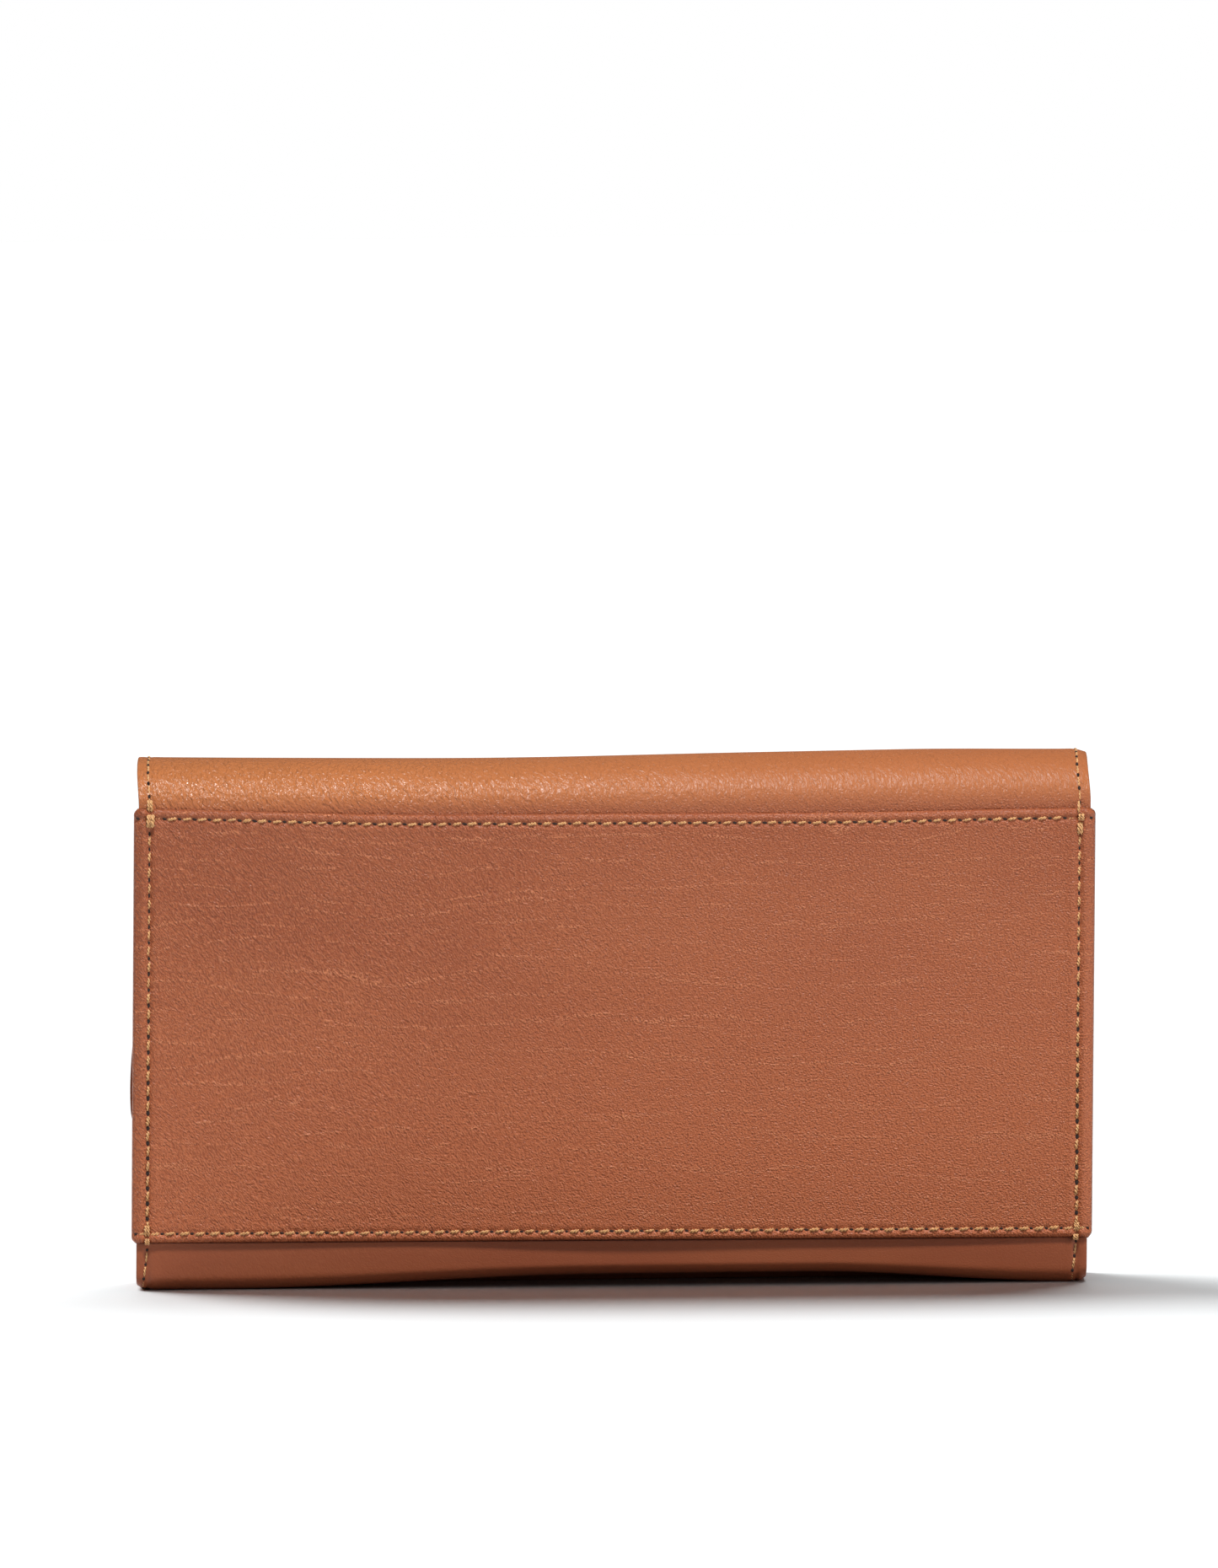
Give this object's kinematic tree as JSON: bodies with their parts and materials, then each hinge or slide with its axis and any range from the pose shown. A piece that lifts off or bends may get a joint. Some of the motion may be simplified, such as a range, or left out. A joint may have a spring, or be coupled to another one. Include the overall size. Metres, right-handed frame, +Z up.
{
  "type": "long wallet",
  "caption": "Long leather wallet: a flap rolls over the top and snaps shut in front; note compartments, card slots and a zipped coin pocket inside, slip pocket on the back.",
  "frame": {"origin": "centre of the closed wallet's bounding box, on the surface it stands on", "axes": "+X along the wallet's width, +Y towards the flap, +Z up from the base fold to the roll"},
  "size_m": [0.1998, 0.0317, 0.1108],
  "materials": {
    "shell": "satin",
    "pocket_leather": "satin",
    "inner_leather": "satin",
    "lining": "matte",
    "zip_tape": "matte",
    "thread": "satin",
    "brass": "polished",
    "steel": "satin"
  },
  "bodies": {
    "body": {"shell_back": "shell", "back_lining": "lining", "back_pocket": "pocket_leather", "gusset_left": "inner_leather", "gusset_right": "inner_leather", "card_tier_low": "inner_leather", "card_tier_mid": "inner_leather", "card_tier_high": "inner_leather", "card_stitches": "thread", "side_stitches_back": "thread", "pocket_mouth_stitches": "thread", "pocket_base_stitches": "thread", "bar_tacks": "thread"},
    "fold_rear": {"fold_lower": "shell", "fold_lower_lining": "lining", "fold_lower_stitches": "thread"},
    "fold_front": {"fold_upper": "shell", "fold_upper_lining": "lining", "fold_upper_stitches": "thread"},
    "flap": {"flap": "shell", "flap_lining": "lining", "flap_stitches": "thread", "snap_stud": "brass", "snap_stud_washer": "steel"},
    "front": {"shell_front": "shell", "front_lining": "lining", "front_side_stitches": "thread", "front_top_stitches": "thread", "snap_socket": "brass", "snap_magnet": "steel", "snap_socket_washer": "steel"},
    "coin_pocket": {"coin_pocket_rear": "inner_leather", "coin_pocket_front": "inner_leather", "coin_pocket_lining": "lining", "coin_pocket_stitches_rear": "thread", "coin_pocket_stitches_front": "thread", "zip_tape_rear": "zip_tape", "zip_tape_front": "zip_tape", "zip_teeth_rear": "brass", "zip_teeth_front": "brass", "zip_top_stops": "brass", "zip_bottom_stop": "brass"},
    "slider": {"zip_slider": "brass"},
    "pull": {"zip_pull": "brass"}
  },
  "joints": [
    {"name": "flap_lift", "type": "hinge", "parent": "body", "child": "fold_rear", "pos_m": [0, -0.0142, 0.0995], "axis": [1, 0, 0], "range_deg": [0, 50]},
    {"name": "roll_open", "type": "hinge", "parent": "fold_rear", "child": "fold_front", "pos_m": [0, 0.00065, 0.1104], "axis": [1, 0, 0], "range_deg": [0, 80]},
    {"name": "flap_straighten", "type": "hinge", "parent": "fold_front", "child": "flap", "pos_m": [0, 0.0155, 0.0995], "axis": [1, 0, 0], "range_deg": [0, 50]},
    {"name": "front_open", "type": "hinge", "parent": "body", "child": "front", "pos_m": [0, 0.0106, 0.0061], "axis": [-1, 0, 0], "range_deg": [0, 15], "deforming": ["gusset_left", "gusset_right"]},
    {"name": "coin_pocket_swing", "type": "hinge", "parent": "body", "child": "coin_pocket", "pos_m": [0, 0.0106, 0.0061], "axis": [-1, 0, 0], "range_deg": [0, 7.5]},
    {"name": "zip_slide", "type": "slide", "parent": "coin_pocket", "child": "slider", "axis": [1, 0, 0], "range_m": [0, 0.15], "deforming": ["zip_teeth_rear", "zip_teeth_front"]},
    {"name": "pull_flip", "type": "hinge", "parent": "slider", "child": "pull", "pos_m": [-0.074, -0.00075, 0.0861], "axis": [0, -1, 0], "range_deg": [0, 180]}
  ],
  "couplings": [
    {"joint": "roll_open", "follows": "flap_lift", "ratio": 1.6},
    {"joint": "flap_straighten", "follows": "flap_lift", "ratio": 1},
    {"joint": "front_open", "follows": "flap_lift", "ratio": 0.3},
    {"joint": "coin_pocket_swing", "follows": "flap_lift", "ratio": 0.15}
  ]
}
